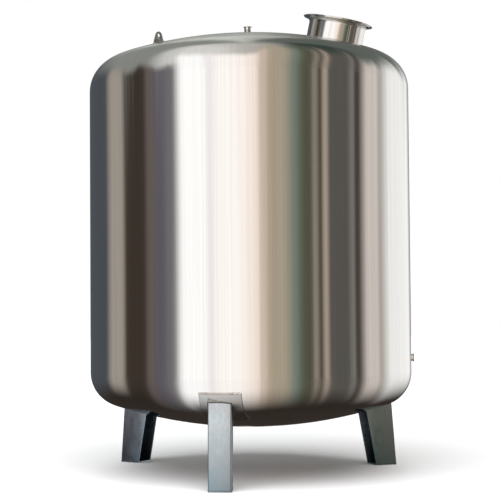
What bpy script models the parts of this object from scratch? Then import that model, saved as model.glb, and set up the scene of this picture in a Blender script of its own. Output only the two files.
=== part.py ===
"""Vertical storage tank of stainless steel: a rolled shell with two dished heads, an open manway
neck, a vent and an outlet, two lifting lugs, and three folded legs on wear pads.

Metres, +Z up. The origin is on the ground, under the tank's axis. A bearing is an angle round the
axis: 0 looks to -Y, the front, and 90 looks to +X, the side of the outlet.
"""

import math

import bmesh
import bpy
from mathutils import Matrix, Vector

# Vessel
SHELL_RADIUS = 1.200
SHELL_HEIGHT = 2.106
SHELL_THICKNESS = 0.004
SHELL_PLATES = 6
CROWN_RADIUS = 3.240
KNUCKLE_RADIUS = 0.250
HEAD_THICKNESS = 0.005
GROUND_TO_SHELL = 0.749

# Manway neck, a rolled tube whose mouth is turned out under a flat ring
MANWAY_REACH = 0.690
MANWAY_BEARING = 67.5
MANWAY_RADIUS = 0.207
MANWAY_WALL = 0.004
MANWAY_HEIGHT = 0.155
MANWAY_INSIDE = 0.024
FLARE_RADIUS = 0.032
RIM_RADIUS = 0.256
RIM_THICKNESS = 0.006

# Vent and outlet, both of one size of pipe with a clamp ferrule
PIPE_RADIUS = 0.0255
PIPE_WALL = 0.0016
PIPE_INSIDE = 0.012
FERRULE_RADIUS = 0.032
FERRULE_LENGTH = 0.0215
FERRULE_EDGE = 0.0030
FERRULE_BEVEL = 0.0025
VENT_HEIGHT = 0.100
OUTLET_REACH = 0.026
OUTLET_OVER_SHELL_FOOT = 0.098

# Lifting lugs
LUG_REACH = 0.900
LUG_BEARINGS = {"front": -45.0, "rear": 135.0}
LUG_WIDTH = 0.090
LUG_HEIGHT = 0.077
LUG_THICKNESS = 0.014
LUG_EYE_RADIUS = 0.014
LUG_TOP_RADIUS = 0.027

# Legs, each a channel of folded plate that opens inwards. A leg's bearing is where its web stands,
# and its facing is the bearing that the web looks to, a few degrees off square.
LEG_BEARINGS = {"front": -10.0, "right": 113.8, "left": 235.5}
LEG_FACINGS = {"front": -2.0, "right": 111.0, "left": 238.0}
LEG_WIDTH = 0.160
LEG_PLATE = 0.006
LEG_TOP = 0.596
LEG_OUTER_AT_TOP = 1.159
LEG_OUTER_AT_FOOT = 1.204
LEG_DEPTH_AT_FOOT = 0.170
LEG_INNER_SLOPE = 0.191
FOOT_THICKNESS = 0.010
PAD_WIDTH = 0.290
PAD_THICKNESS = 0.006
PAD_UNDER_SHELL = 0.092
PAD_INNER_REACH = 0.850

# Fineness, and the gap between pieces that touch
SEAM_GAP = 0.0003
PLATE_GAP = 0.0007
FACETS = 72
PIPE_FACETS = 32
MANWAY_FACETS = 64
KNUCKLE_STEPS = 6
CROWN_STEPS = 7
FLARE_STEPS = 5
WELD_DISTANCE = 0.00002

# Worked out from the dimensions above
CROWN_ANGLE = math.asin((SHELL_RADIUS - KNUCKLE_RADIUS) / (CROWN_RADIUS - KNUCKLE_RADIUS))
KNUCKLE_ANGLE = math.pi / 2 - CROWN_ANGLE
HEAD_DEPTH = CROWN_RADIUS - (CROWN_RADIUS - KNUCKLE_RADIUS) * math.cos(CROWN_ANGLE)
SHELL_FOOT = GROUND_TO_SHELL
SHELL_TOP = GROUND_TO_SHELL + SHELL_HEIGHT
APEX = SHELL_TOP + HEAD_DEPTH
MANWAY_TILT = math.asin(MANWAY_REACH / CROWN_RADIUS)

# Finishes: name, colour, roughness
POLISHED = ("polished_stainless", (0.72, 0.70, 0.67), 0.16)
SATIN = ("satin_stainless", (0.62, 0.62, 0.60), 0.30)
FOLDED = ("folded_stainless_plate", (0.60, 0.61, 0.63), 0.42)


def clear_scene():
    for obj in list(bpy.data.objects):
        bpy.data.objects.remove(obj, do_unlink=True)


def new_collection(name, hidden=False):
    collection = bpy.data.collections.new(name)
    collection.hide_render = hidden
    bpy.context.scene.collection.children.link(collection)
    return collection


clear_scene()
TANK = new_collection("vertical_storage_tank")
CUTTERS = new_collection("cutters", hidden=True)


def make_material(name, finish):
    label, colour, roughness = finish
    material = bpy.data.materials.new(f"{label}_{name}")
    material.use_nodes = True
    surface = material.node_tree.nodes["Principled BSDF"]
    surface.inputs["Base Color"].default_value = (*colour, 1.0)
    surface.inputs["Metallic"].default_value = 1.0
    surface.inputs["Roughness"].default_value = roughness
    return material


def add_piece(name, mesh, finish):
    """A visible sub-part, with a material of its own."""
    piece = bpy.data.objects.new(name, mesh)
    mesh.materials.append(make_material(name, finish))
    TANK.objects.link(piece)
    return piece


def add_cutter(name, mesh):
    cutter = bpy.data.objects.new(name, mesh)
    cutter.hide_render = True
    cutter.display_type = "WIRE"
    CUTTERS.objects.link(cutter)
    return cutter


def turning(bearing):
    """The turn about +Z that swings +X to a bearing in degrees."""
    return math.radians(bearing - 90.0)


def profile_mesh(name, points, closed):
    """A line of edges in the XZ plane, for the Screw modifier."""
    mesh = bpy.data.meshes.new(name)
    edges = [(i, i + 1) for i in range(len(points) - 1)]
    if closed:
        edges.append((len(points) - 1, 0))
    mesh.from_pydata([(reach, 0.0, height) for reach, height in points], edges, [])
    return mesh


def add_turn(obj, steps):
    """Turns a profile a whole turn about the object's Z axis."""
    screw = obj.modifiers.new("turn", "SCREW")
    screw.axis = "Z"
    screw.angle = 2.0 * math.pi
    screw.steps = steps
    screw.render_steps = steps
    screw.use_merge_vertices = True
    screw.merge_threshold = WELD_DISTANCE
    screw.use_smooth_shade = True
    return screw


def add_boolean(obj, cutter, operation="DIFFERENCE"):
    boolean = obj.modifiers.new(cutter.name, "BOOLEAN")
    boolean.operation = operation
    boolean.solver = "EXACT"
    boolean.object = cutter
    return boolean


def turned_piece(name, points, finish, steps=FACETS, closed=True):
    piece = add_piece(name, profile_mesh(name, points, closed), finish)
    add_turn(piece, steps)
    return piece


def head_outline(offset, hole=0.0):
    """Half of a dished head's section, as (reach, height over the tangent line), from the knuckle
    to the crown, and there to the edge of a hole on the axis. The offset is measured square to
    the outer surface, outwards. Every outline has its corners at the same angles, so that pieces
    seated on a head follow its facets."""
    points = []
    for step in range(KNUCKLE_STEPS + 1):
        angle = KNUCKLE_ANGLE * step / KNUCKLE_STEPS
        reach = SHELL_RADIUS - KNUCKLE_RADIUS + (KNUCKLE_RADIUS + offset) * math.cos(angle)
        points.append((reach, (KNUCKLE_RADIUS + offset) * math.sin(angle)))
    radius = CROWN_RADIUS + offset
    for step in range(1, CROWN_STEPS + 1):
        angle = max(CROWN_ANGLE * (1.0 - step / CROWN_STEPS), math.asin(hole / radius))
        height = HEAD_DEPTH - CROWN_RADIUS + radius * math.cos(angle)
        points.append((radius * math.sin(angle), height))
    return points


def upward(points):
    """A head's outline set on top of the shell."""
    return [(reach, SHELL_TOP + SEAM_GAP + height) for reach, height in points]


def downward(points):
    """A head's outline hung under the shell."""
    return [(reach, SHELL_FOOT - SEAM_GAP - height) for reach, height in points]


def pipe_profile(outer, inner, low, high):
    return [(outer, high), (outer, low), (inner, low), (inner, high)]


def ferrule_profile(low, high):
    """A clamp ferrule: a pipe end whose mouth has a thin lip, sloped on its back."""
    neck = high - FERRULE_EDGE - FERRULE_BEVEL
    return [
        (FERRULE_RADIUS, high),
        (FERRULE_RADIUS, high - FERRULE_EDGE),
        (PIPE_RADIUS, neck),
        (PIPE_RADIUS, low),
        (PIPE_RADIUS - PIPE_WALL, low),
        (PIPE_RADIUS - PIPE_WALL, high),
    ]


def cylinder_mesh(name, radius, low, high, facets):
    mesh = bpy.data.meshes.new(name)
    shape = bmesh.new()
    bmesh.ops.create_cone(
        shape, cap_ends=True, segments=facets, radius1=radius, radius2=radius, depth=high - low
    )
    bmesh.ops.translate(shape, verts=shape.verts, vec=(0.0, 0.0, (low + high) / 2))
    # The cone's first corner lies on +Y, and a turned profile's lies on +X.
    bmesh.ops.rotate(shape, verts=shape.verts, matrix=Matrix.Rotation(-math.pi / 2, 3, "Z"))
    shape.to_mesh(mesh)
    shape.free()
    return mesh


def box_mesh(name, low, high):
    mesh = bpy.data.meshes.new(name)
    shape = bmesh.new()
    low, high = Vector(low), Vector(high)
    bmesh.ops.create_cube(shape, size=1.0)
    bmesh.ops.scale(shape, verts=shape.verts, vec=high - low)
    bmesh.ops.translate(shape, verts=shape.verts, vec=(low + high) / 2)
    shape.to_mesh(mesh)
    shape.free()
    return mesh


def plate_mesh(name, outline, thickness):
    """A flat plate in the XZ plane from its outline, with its thickness along Y."""
    curve = bpy.data.curves.new(name, "CURVE")
    curve.dimensions = "2D"
    curve.fill_mode = "BOTH"
    curve.extrude = thickness / 2
    spline = curve.splines.new("POLY")
    spline.points.add(len(outline) - 1)
    for point, (across, up) in zip(spline.points, outline):
        point.co = (across, up, 0.0, 1.0)
    spline.use_cyclic_u = True
    sketch = bpy.data.objects.new(name, curve)
    CUTTERS.objects.link(sketch)
    graph = bpy.context.evaluated_depsgraph_get()
    mesh = bpy.data.meshes.new_from_object(sketch.evaluated_get(graph))
    bpy.data.objects.remove(sketch, do_unlink=True)
    shape = bmesh.new()
    shape.from_mesh(mesh)
    bmesh.ops.remove_doubles(shape, verts=shape.verts, dist=WELD_DISTANCE)
    bmesh.ops.rotate(shape, verts=shape.verts, matrix=Matrix.Rotation(math.pi / 2, 3, "X"))
    bmesh.ops.recalc_face_normals(shape, faces=shape.faces)
    shape.to_mesh(mesh)
    shape.free()
    return mesh


def add_head_cutter(name, offset, place):
    """Everything inside a head's outer surface, grown by an offset: it seats a piece on that head."""
    points = place(head_outline(offset))
    rim_reach, rim_height = points[0]
    middle = (SHELL_TOP + SHELL_FOOT) / 2
    if place is upward:
        line = points[::-1] + [(rim_reach, middle), (0.0, middle)]
    else:
        line = [(0.0, middle), (rim_reach, middle)] + points
    cutter = add_cutter(name, profile_mesh(name, line, closed=False))
    add_turn(cutter, FACETS)
    return cutter


def make_shell():
    """Rolled plates that stand side by side, each one from head to head."""
    share = 2.0 * math.pi / SHELL_PLATES
    gap_angle = PLATE_GAP / SHELL_RADIUS
    facets = FACETS // SHELL_PLATES
    plates = []
    for number in range(SHELL_PLATES):
        name = f"shell_plate_{number + 1}"
        edge = [(SHELL_RADIUS, SHELL_TOP), (SHELL_RADIUS, SHELL_FOOT)]
        plate = add_piece(name, profile_mesh(name, edge, closed=False), POLISHED)
        plate.rotation_euler.z = share * (number - 0.5) + gap_angle / 2
        roll = add_turn(plate, facets)
        roll.angle = share - gap_angle
        wall = plate.modifiers.new("wall", "SOLIDIFY")
        wall.thickness = SHELL_THICKNESS
        wall.offset = -1.0
        wall.use_even_offset = True
        plates.append(plate)
    return plates


def make_heads():
    outer = head_outline(0.0, hole=PIPE_RADIUS + SEAM_GAP)
    inner = head_outline(-HEAD_THICKNESS, hole=PIPE_RADIUS + SEAM_GAP)
    top = turned_piece("top_head", upward(outer[::-1] + inner), SATIN)
    outer = head_outline(0.0)
    inner = head_outline(-HEAD_THICKNESS)
    turned_piece("bottom_head", downward(inner[::-1] + outer), POLISHED, closed=False)
    return top


def make_manway(top_head):
    """The neck stands square to the crown and runs a little way inside it."""
    turn = turning(MANWAY_BEARING)
    height = APEX - CROWN_RADIUS + math.sqrt(CROWN_RADIUS**2 - MANWAY_REACH**2)
    base = (MANWAY_REACH * math.cos(turn), MANWAY_REACH * math.sin(turn), height)
    lip = MANWAY_HEIGHT - RIM_THICKNESS - SEAM_GAP
    bore = MANWAY_RADIUS - MANWAY_WALL
    turn_centre = (MANWAY_RADIUS + FLARE_RADIUS, lip - MANWAY_WALL - FLARE_RADIUS)
    outside, inside = [], []
    for step in range(FLARE_STEPS + 1):
        angle = math.pi / 2 * (1 + step / FLARE_STEPS)
        along = Vector((math.cos(angle), math.sin(angle)))
        outside.append(tuple(Vector(turn_centre) + along * FLARE_RADIUS))
        inside.append(tuple(Vector(turn_centre) + along * (FLARE_RADIUS + MANWAY_WALL)))
    neck = outside + [(MANWAY_RADIUS, -MANWAY_INSIDE), (bore, -MANWAY_INSIDE)] + inside[::-1]
    pieces = [
        turned_piece("manway_neck", neck, POLISHED, MANWAY_FACETS),
        turned_piece(
            "manway_rim",
            pipe_profile(RIM_RADIUS, MANWAY_RADIUS, MANWAY_HEIGHT - RIM_THICKNESS, MANWAY_HEIGHT),
            POLISHED,
            MANWAY_FACETS,
        ),
        add_cutter(
            "manway_hole",
            cylinder_mesh("manway_hole", MANWAY_RADIUS + SEAM_GAP, -0.1, 0.1, MANWAY_FACETS),
        ),
    ]
    for piece in pieces:
        piece.location = base
        piece.rotation_euler = (0.0, MANWAY_TILT, turn)
    add_boolean(top_head, pieces[-1])


def make_vent():
    joint = APEX + VENT_HEIGHT - FERRULE_LENGTH
    low = APEX - HEAD_THICKNESS - PIPE_INSIDE
    tube = pipe_profile(PIPE_RADIUS, PIPE_RADIUS - PIPE_WALL, low, joint - SEAM_GAP)
    turned_piece("vent_pipe", tube, SATIN, PIPE_FACETS)
    turned_piece("vent_ferrule", ferrule_profile(joint, APEX + VENT_HEIGHT), POLISHED, PIPE_FACETS)


def make_outlet(plate):
    """A ferrule on a short pipe through the shell plate that faces +X, near the lower head."""
    height = SHELL_FOOT + OUTLET_OVER_SHELL_FOOT
    face = SHELL_RADIUS + OUTLET_REACH
    joint = face - FERRULE_LENGTH
    low = SHELL_RADIUS - SHELL_THICKNESS - PIPE_INSIDE
    tube = pipe_profile(PIPE_RADIUS, PIPE_RADIUS - PIPE_WALL, low, joint - SEAM_GAP)
    hole = cylinder_mesh("outlet_hole", PIPE_RADIUS + SEAM_GAP, low, face, PIPE_FACETS)
    pieces = [
        turned_piece("outlet_pipe", tube, SATIN, PIPE_FACETS),
        turned_piece("outlet_ferrule", ferrule_profile(joint, face), POLISHED, PIPE_FACETS),
        add_cutter("outlet_hole", hole),
    ]
    for piece in pieces:
        piece.location.z = height
        piece.rotation_euler.y = math.pi / 2
    add_boolean(plate, pieces[-1])


def lug_outline(eye_height):
    """A lug's side: a broad foot, and sides that run to a round top about the eye."""
    half = LUG_WIDTH / 2
    slope = math.atan2(eye_height, half - LUG_TOP_RADIUS)
    start = math.pi / 2 - slope
    steps = 10
    arc = []
    for step in range(steps + 1):
        angle = start + (math.pi - 2 * start) * step / steps
        arc.append((LUG_TOP_RADIUS * math.cos(angle), eye_height + LUG_TOP_RADIUS * math.sin(angle)))
    return [(-half, -LUG_WIDTH), (half, -LUG_WIDTH), (half, 0.0)] + arc + [(-half, 0.0)]


def make_lugs():
    """Upright plates in line with the axis, cut below to sit on the crown."""
    seat = add_head_cutter("lug_seat", SEAM_GAP, upward)
    eye_height = LUG_HEIGHT - LUG_TOP_RADIUS
    foot = APEX - CROWN_RADIUS + math.sqrt(CROWN_RADIUS**2 - LUG_REACH**2)
    eye = cylinder_mesh("lug_eye", LUG_EYE_RADIUS, -0.05, 0.05, PIPE_FACETS)
    for side, bearing in LUG_BEARINGS.items():
        turn = turning(bearing)
        place = (LUG_REACH * math.cos(turn), LUG_REACH * math.sin(turn), foot)
        name = f"lifting_lug_{side}"
        lug = add_piece(name, plate_mesh(name, lug_outline(eye_height), LUG_THICKNESS), SATIN)
        lug.location = place
        lug.rotation_euler.z = turn
        drill = add_cutter(f"lug_eye_{side}", eye)
        drill.location = Vector(place) + Vector((0.0, 0.0, eye_height))
        drill.rotation_euler = (math.pi / 2, 0.0, turn)
        add_boolean(lug, seat)
        add_boolean(lug, drill)


def pad_ring_profile():
    """A skin over the whole lower head, of which each wear pad is a patch."""
    near = head_outline(SEAM_GAP)
    far = head_outline(SEAM_GAP + PAD_THICKNESS)
    return downward(near[::-1] + far)


def leg_section(inset):
    """A leg's side view as (reach, height). The inset is the plate's thickness for the hollow,
    which also runs out past the open inner side."""
    outer_slope = (LEG_OUTER_AT_FOOT - LEG_OUTER_AT_TOP) / LEG_TOP
    inner_at_foot = LEG_OUTER_AT_FOOT - LEG_DEPTH_AT_FOOT
    past = 0.2 if inset else 0.0
    low = -0.05 if inset else FOOT_THICKNESS + SEAM_GAP
    high = LEG_TOP + past
    return [
        (LEG_OUTER_AT_FOOT - inset - outer_slope * low, low),
        (LEG_OUTER_AT_FOOT - inset - outer_slope * high, high),
        (inner_at_foot - past - LEG_INNER_SLOPE * high, high),
        (inner_at_foot - past - LEG_INNER_SLOPE * low, low),
    ]


def stand_leg(piece, side):
    """Moves a piece drawn about +X to its leg, turned about the foot of the web to its facing."""
    web_foot = Vector((LEG_OUTER_AT_FOOT, 0.0, 0.0))
    facing = turning(LEG_FACINGS[side])
    place = Matrix.Rotation(turning(LEG_BEARINGS[side]), 3, "Z") @ web_foot
    piece.location = place - Matrix.Rotation(facing, 3, "Z") @ web_foot
    piece.rotation_euler.z = facing


def make_legs():
    pad_seat = add_head_cutter("pad_seat", PAD_THICKNESS + 2 * SEAM_GAP, downward)
    hollow = plate_mesh("leg_hollow", leg_section(LEG_PLATE), LEG_WIDTH - 2 * LEG_PLATE)
    patch = box_mesh(
        "pad_patch",
        (PAD_INNER_REACH, -PAD_WIDTH / 2, 0.0),
        (SHELL_RADIUS * 1.1, PAD_WIDTH / 2, SHELL_FOOT - PAD_UNDER_SHELL),
    )
    half = LEG_WIDTH / 2
    foot_low = (LEG_OUTER_AT_FOOT - LEG_DEPTH_AT_FOOT, -half, 0.0)
    foot_high = (LEG_OUTER_AT_FOOT, half, FOOT_THICKNESS)
    for side, bearing in LEG_BEARINGS.items():
        pad = turned_piece(f"leg_pad_{side}", pad_ring_profile(), SATIN, closed=False)
        pad_cut = add_cutter(f"pad_patch_{side}", patch)
        pad_cut.rotation_euler.z = turning(bearing)
        add_boolean(pad, pad_cut, "INTERSECT")

        name = f"leg_channel_{side}"
        channel = add_piece(name, plate_mesh(name, leg_section(0.0), LEG_WIDTH), FOLDED)
        stand_leg(channel, side)
        channel_cut = add_cutter(f"leg_hollow_{side}", hollow)
        stand_leg(channel_cut, side)
        add_boolean(channel, channel_cut)
        add_boolean(channel, pad_seat)

        name = f"leg_foot_{side}"
        foot = add_piece(name, box_mesh(name, foot_low, foot_high), FOLDED)
        stand_leg(foot, side)


def main():
    plates = make_shell()
    top_head = make_heads()
    make_manway(top_head)
    make_vent()
    make_outlet(plates[0])
    make_lugs()
    make_legs()


main()
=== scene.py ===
# %% [markdown]
# # A polished storage tank
# The real tank is a stainless steel vessel: a rolled shell between two dished heads, an open manway
# neck, a vent, an outlet, two lifting lugs and three legs of folded plate. Almost everything the
# eye sees on it is a reflection, so this lesson has two halves: surfaces smooth enough to reflect
# cleanly, and a studio worth reflecting.

import math
from functools import partial

import bmesh
import bpy
from mathutils import Matrix, Vector


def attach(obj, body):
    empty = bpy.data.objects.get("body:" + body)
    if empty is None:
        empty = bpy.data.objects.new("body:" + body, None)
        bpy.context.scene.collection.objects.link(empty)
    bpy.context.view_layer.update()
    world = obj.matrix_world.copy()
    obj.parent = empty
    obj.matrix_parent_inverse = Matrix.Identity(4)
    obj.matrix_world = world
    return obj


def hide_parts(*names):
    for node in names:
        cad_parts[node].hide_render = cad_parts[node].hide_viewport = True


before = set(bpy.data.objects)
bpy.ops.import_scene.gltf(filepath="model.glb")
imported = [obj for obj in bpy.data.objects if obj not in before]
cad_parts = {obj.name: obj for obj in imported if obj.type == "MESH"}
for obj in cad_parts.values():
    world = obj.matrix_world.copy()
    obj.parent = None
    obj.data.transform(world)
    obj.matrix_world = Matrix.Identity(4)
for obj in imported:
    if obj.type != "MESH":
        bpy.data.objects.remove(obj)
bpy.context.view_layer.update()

# %% [markdown]
# ## Sizes
# The tank's sizes in metres, with the origin on the ground under its axis. A bearing is an angle
# round the axis: 0 looks to -Y, where the camera stands, and 90 looks to +X.

# %% Sizes of the shell and the heads
SHELL_RADIUS = 1.200
SHELL_FOOT = 0.749
SHELL_TOP = 2.855
SHELL_WALL = 0.004
CROWN_RADIUS = 3.240
KNUCKLE_RADIUS = 0.250
KNUCKLE_REACH = SHELL_RADIUS - KNUCKLE_RADIUS
HEAD_WALL = 0.005
CROWN_ANGLE = math.asin(KNUCKLE_REACH / (CROWN_RADIUS - KNUCKLE_RADIUS))
KNUCKLE_ANGLE = math.pi / 2 - CROWN_ANGLE
HEAD_DEPTH = CROWN_RADIUS - (CROWN_RADIUS - KNUCKLE_RADIUS) * math.cos(CROWN_ANGLE)
APEX = SHELL_TOP + HEAD_DEPTH
# The solids leave this much between two pieces, where the weld would be.
SEAM_GAP = 0.0003
print("head depth", round(HEAD_DEPTH, 4))

# %% [markdown]
# ## Small helpers
# Colours are written as the hex values a designer would pick on a screen, and one function turns
# them into the linear light that Blender works in. Another adds a node with its settings and its
# links: an input takes a plain value, an output, or a whole node, whose first output in use it
# then takes. The others keep the plain mesh that a modifier makes, and make a mesh into a piece.
#
# Sockets are often given by number. A Map Range takes its value at 0, the range it comes from at
# 1 and 2 and the one it goes to at 3 and 4. A Mix takes its factor at 0, and then two numbers at 2
# and 3 or two colours at 6 and 7.


# %% Colours and nodes
def hex_colour(code):
    """An sRGB hex value as linear RGBA."""
    channels = [int(code[i : i + 2], 16) / 255 for i in (0, 2, 4)]
    linear = [c / 12.92 if c <= 0.04045 else ((c + 0.055) / 1.055) ** 2.4 for c in channels]
    return (*linear, 1.0)


def wire(tree, node, inputs):
    """Gives a node's inputs their values and links."""
    for socket, value in dict(inputs).items():
        if isinstance(value, bpy.types.Node):
            value = next(output for output in value.outputs if output.enabled)
        if isinstance(value, bpy.types.NodeSocket):
            tree.links.new(value, node.inputs[socket])
        else:
            node.inputs[socket].default_value = value
    return node


def add_node(tree, kind, inputs=(), **settings):
    """A new node with its settings, its values and its links."""
    made = tree.nodes.new(kind)
    for name, value in settings.items():
        setattr(made, name, value)
    return wire(tree, made, inputs)


print("mid grey is", round(hex_colour("808080")[0], 3), "in linear light")


# %% Meshes from modifiers, and pieces
def add_object(name, data):
    """An object that is put in the scene."""
    made = bpy.data.objects.new(name, data)
    bpy.context.scene.collection.objects.link(made)
    return made


def modified(name, source, kind, settings, inputs=()):
    """The plain mesh that one modifier makes from another mesh."""
    holder = add_object(name, source)
    modifier = holder.modifiers.new(name, kind)
    for setting, value in settings.items():
        setattr(modifier, setting, value)
    for socket, value in dict(inputs).items():
        modifier[socket] = value
    graph = bpy.context.evaluated_depsgraph_get()
    mesh = bpy.data.meshes.new_from_object(holder.evaluated_get(graph))
    mesh.name = name
    bpy.data.objects.remove(holder)
    return mesh


def run_tree(name, tree, source, values):
    """The plain mesh that a Geometry Nodes tree makes, from values for its named inputs."""
    sockets = [item for item in tree.interface.items_tree if item.name in values]
    inputs = {item.identifier: values[item.name] for item in sockets}
    return modified(name, source, "NODES", {"node_group": tree}, inputs)


def add_piece(name, mesh, slot, *stands_for):
    """A finished piece of the tank: it rides with the tank and stands for its solids."""
    piece = add_object(name, mesh)
    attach(piece, "root")
    if stands_for:
        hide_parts(*stands_for)
    print(name, "has", len(mesh.polygons), "faces")


# %% [markdown]
# ## Finishes
# All of it is one metal, and what differs is how its surface was worked. The shell and the neck
# were polished until they mirror the yard, so their roughness is low and only faint upright
# streaks from the polishing belt break it. The heads were polished on a turntable, and the crown
# of the upper one has dulled. The legs are plate as it came from the mill, darker near the ground
# with mud and a painted shade. A metal's colour is its reflection's tint, so it stays near neutral
# in all of them.


# %% Patterns that finishes are made of
def grains(tree, place, size, detail=2.0, distortion=0.0):
    """A cloudy pattern whose grains have these sizes in metres along X, Y and Z."""
    scaled = {"Vector": place, "Scale": [1.0 / length for length in size]}
    grid = add_node(tree, "ShaderNodeMapping", scaled)
    noise = {"Vector": grid, "Scale": 1.0, "Detail": detail, "Distortion": distortion}
    return add_node(tree, "ShaderNodeTexNoise", noise)


# Noise seldom leaves 0.3 to 0.7, so a Map Range that reads it takes those as its ends.
NOISE_SPAN = {1: 0.3, 2: 0.7}


def tank_place(tree):
    """A point's place on the tank, in metres."""
    return add_node(tree, "ShaderNodeTexCoord").outputs["Object"]


def place_round_axis(tree):
    """The tank's coordinates with each point pushed out to the shell's radius, so that a streak
    runs straight up the shell and on over the heads to their middles."""
    add = partial(add_node, tree)
    place = tank_place(tree)
    flat = add("ShaderNodeVectorMath", {0: place, 1: (1, 1, 0)}, operation="MULTIPLY")
    around = add("ShaderNodeVectorMath", {0: flat}, operation="NORMALIZE")
    up = add("ShaderNodeVectorMath", {0: place, 1: (0, 0, 1)}, operation="MULTIPLY")
    pushed = {0: around, 1: (SHELL_RADIUS, SHELL_RADIUS, SHELL_RADIUS), 2: up}
    return add("ShaderNodeVectorMath", pushed, operation="MULTIPLY_ADD")


def two_tones(tree, pattern, low, high, span=NOISE_SPAN):
    """A tint that goes from one hex tone, or node, to another over a pattern's span."""
    share = add_node(tree, "ShaderNodeMapRange", {0: pattern, **span})
    ends = [hex_colour(tone) if isinstance(tone, str) else tone for tone in (low, high)]
    return add_node(tree, "ShaderNodeMix", {0: share, 6: ends[0], 7: ends[1]}, data_type="RGBA")


def metal(name, work):
    """A metal. The work function gives its tint, its roughness, and its relief with its depth."""
    material = bpy.data.materials.new(name)
    material.use_nodes = True
    tree = material.node_tree
    tint, rough, relief, depth = work(tree)
    bump = add_node(tree, "ShaderNodeBump", {"Height": relief, "Strength": 1.0, "Distance": depth})
    finish = {"Base Color": tint, "Metallic": 1.0, "Roughness": rough, "Normal": bump}
    wire(tree, tree.nodes["Principled BSDF"], finish)
    print(name, "has", len(tree.nodes), "nodes")
    return material


print("noise is read from", *NOISE_SPAN.values())

# %% Mirror-polished stainless steel, for the shell and the neck
# A belt's scratches are 0.1 mm wide, far under a pixel, so the streaks are drawn 12 mm wide.
STREAK = (0.012, 0.012, 2.4)
STREAK_DEPTH = 0.00003
BELT_PASS = (0.07, 0.07, 3.5)


def belt_polish(tree):
    streak = grains(tree, place_round_axis(tree), STREAK)
    band = grains(tree, place_round_axis(tree), BELT_PASS)
    rough = add_node(tree, "ShaderNodeMapRange", {0: band, **NOISE_SPAN, 3: 0.07, 4: 0.12})
    return two_tones(tree, streak, "d6d5d2", "dddcda"), rough, streak, STREAK_DEPTH


POLISHED = metal("mirror_polished_stainless", belt_polish)

# %% Turntable-polished stainless steel, for the heads
# The crown, over the knuckle, has a film of dust and water marks a hand or two across. Its specks
# are under 1 mm, so they are drawn 20 mm across.
FILM_FROM = SHELL_TOP + 0.15
FILM_FULL = SHELL_TOP + 0.27
WATER_MARK = (0.16, 0.16, 0.16)
SPECK = (0.02, 0.02, 0.02)
SPECK_DEPTH = 0.00004


def head_polish(tree):
    add = partial(add_node, tree)
    streak = grains(tree, place_round_axis(tree), STREAK)
    height = add("ShaderNodeSeparateXYZ", {0: tank_place(tree)}).outputs["Z"]
    crown = add("ShaderNodeMapRange", {0: height, 1: FILM_FROM, 2: FILM_FULL})
    marks = grains(tree, tank_place(tree), WATER_MARK, detail=3.0, distortion=0.3)
    dust = add("ShaderNodeMapRange", {0: marks, 1: 0.32, 2: 0.72})
    film = add("ShaderNodeMath", {0: dust, 1: crown}, operation="MULTIPLY")
    clean = two_tones(tree, streak, "d5d4d2", "dbdad8")
    tint = add("ShaderNodeMix", {0: film, 6: clean, 7: hex_colour("b6b7b1")}, data_type="RGBA")
    dull = add("ShaderNodeMapRange", {0: crown, 3: 0.12, 4: 0.25})
    rough = add("ShaderNodeMath", {0: film, 1: 0.08, 2: dull}, operation="MULTIPLY_ADD")
    speck = grains(tree, tank_place(tree), SPECK, detail=3.0)
    relief = add("ShaderNodeMath", {0: speck, 1: crown, 2: streak}, operation="MULTIPLY_ADD")
    return tint, rough, relief, SPECK_DEPTH


TURNED_POLISH = metal("turntable_polished_stainless", head_polish)

# %% Mill-finish stainless plate, for the legs
# Rolled plate's grain is about 0.05 mm wide, so it is drawn 12 mm wide. Mud and hose water darken
# the plate towards the ground, and a painted shade of the ground darkens it there as well.
MILL_GRAIN = (0.012, 0.012, 0.05)
MILL_DEPTH = 0.00012
MILL_CLOUD = (0.09, 0.09, 0.14)


def mill_finish(tree):
    grain = grains(tree, tank_place(tree), MILL_GRAIN, detail=4.0)
    cloud = grains(tree, tank_place(tree), MILL_CLOUD, detail=4.0, distortion=0.8)
    height = add_node(tree, "ShaderNodeSeparateXYZ", {0: tank_place(tree)}).outputs["Z"]
    # The plate's tint darkens towards the ground: partly mud, partly a painted shade.
    uneven = {0: cloud, 1: 0.22, 2: height}
    level = add_node(tree, "ShaderNodeMath", uneven, operation="MULTIPLY_ADD")
    plate = two_tones(tree, grain, "aab7be", "bcc6cb")
    clouded = two_tones(tree, cloud, plate, "b2b6bd", {1: 0.45, 2: 0.7})
    tint = two_tones(tree, level, "758892", clouded, {1: 0.05, 2: 0.55})
    rough = add_node(tree, "ShaderNodeMapRange", {0: cloud, **NOISE_SPAN, 3: 0.24, 4: 0.34})
    return tint, rough, grain, MILL_DEPTH


MILL_PLATE = metal("mill_finish_stainless_plate", mill_finish)


# %% Satin stainless steel, and weld metal
SHEEN_DEPTH = 0.0001


def uneven_sheen(size, detail, span, tones, dullness):
    """A finish whose tint and roughness wander together in clouds of one size."""

    def work(tree):
        cloud = grains(tree, tank_place(tree), (size, size, size), detail)
        dull = add_node(tree, "ShaderNodeMapRange", {0: cloud, **NOISE_SPAN, **dullness})
        return two_tones(tree, cloud, *tones, span), dull, cloud, SHEEN_DEPTH

    return work


# The pads, the lugs and the pipes: an abrasive pad's scratches are too fine to show, so only the
# uneven sheen that they leave is drawn, in clouds of 50 mm.
rubbed = uneven_sheen(0.05, 4.0, {1: 0.0, 2: 1.0}, ("a8a9a8", "bdbdbc"), {3: 0.22, 4: 0.34})
SATIN = metal("satin_stainless", rubbed)
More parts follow.
